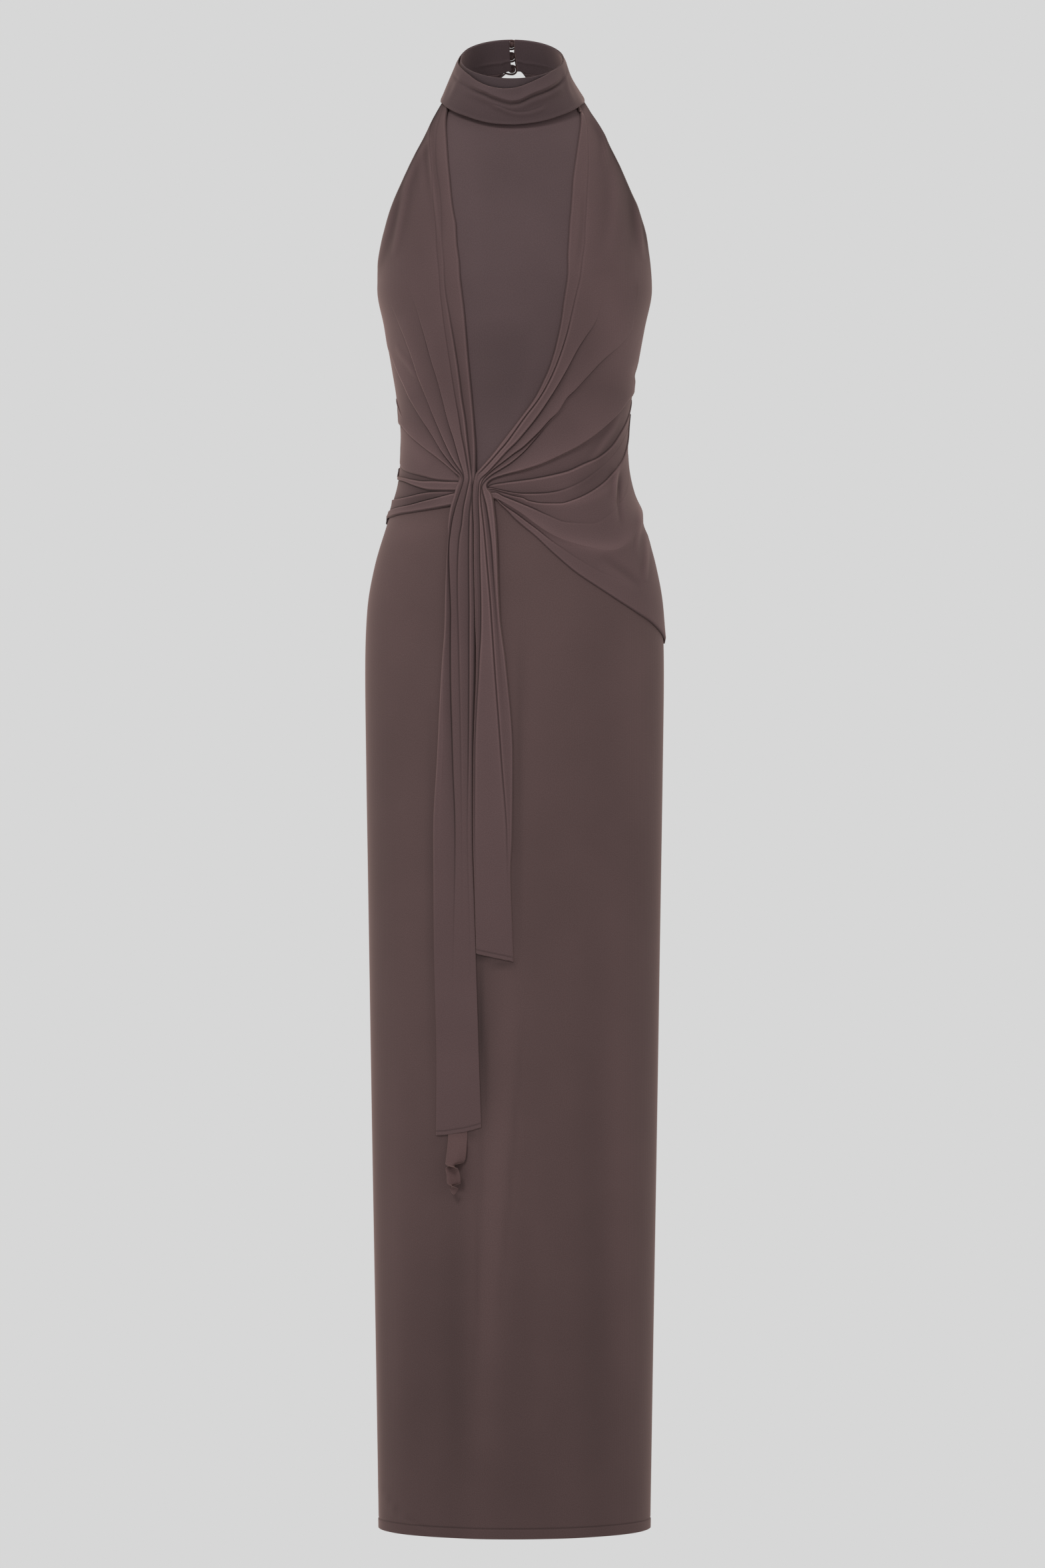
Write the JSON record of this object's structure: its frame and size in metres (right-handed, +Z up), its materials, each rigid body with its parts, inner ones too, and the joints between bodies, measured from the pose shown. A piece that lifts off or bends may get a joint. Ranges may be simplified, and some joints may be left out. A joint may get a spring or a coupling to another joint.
{
  "type": "halter dress",
  "caption": "Floor-length jersey halter dress, hollow as worn, with a banded collar, bodice drapes gathered to a hip knot, two hanging ties and an open keyhole back",
  "frame": {"origin": "in the middle of the neck between the side-seam planes, level with the sides of the collar's base, where the wearer's neck holds the dress", "axes": "X to the right in the front view, which is the wearer's left, Y to the back, so the front faces -Y, and Z up"},
  "size_m": [0.3217, 0.2517, 1.5926],
  "materials": {
    "jersey": "matte fine jersey",
    "skirt_jersey": "matte fine jersey",
    "collar_jersey": "matte fine jersey",
    "tie_jersey": "matte fine jersey",
    "button_cloth": "cloth-covered button"
  },
  "bodies": {
    "root": {"bodice_front": "jersey", "bodice_back_left": "jersey", "bodice_back_right": "jersey", "drape_right": "jersey", "drape_left": "jersey", "collar_drape": "jersey", "skirt_front": "skirt_jersey", "skirt_back": "skirt_jersey", "collar_stand": "collar_jersey", "tie_left": "tie_jersey", "tie_right": "tie_jersey", "tie_left_tail": "tie_jersey", "loop_1": "tie_jersey", "loop_2": "tie_jersey", "loop_3": "tie_jersey", "button_1": "button_cloth", "button_2": "button_cloth", "button_3": "button_cloth"}
  },
  "joints": []
}
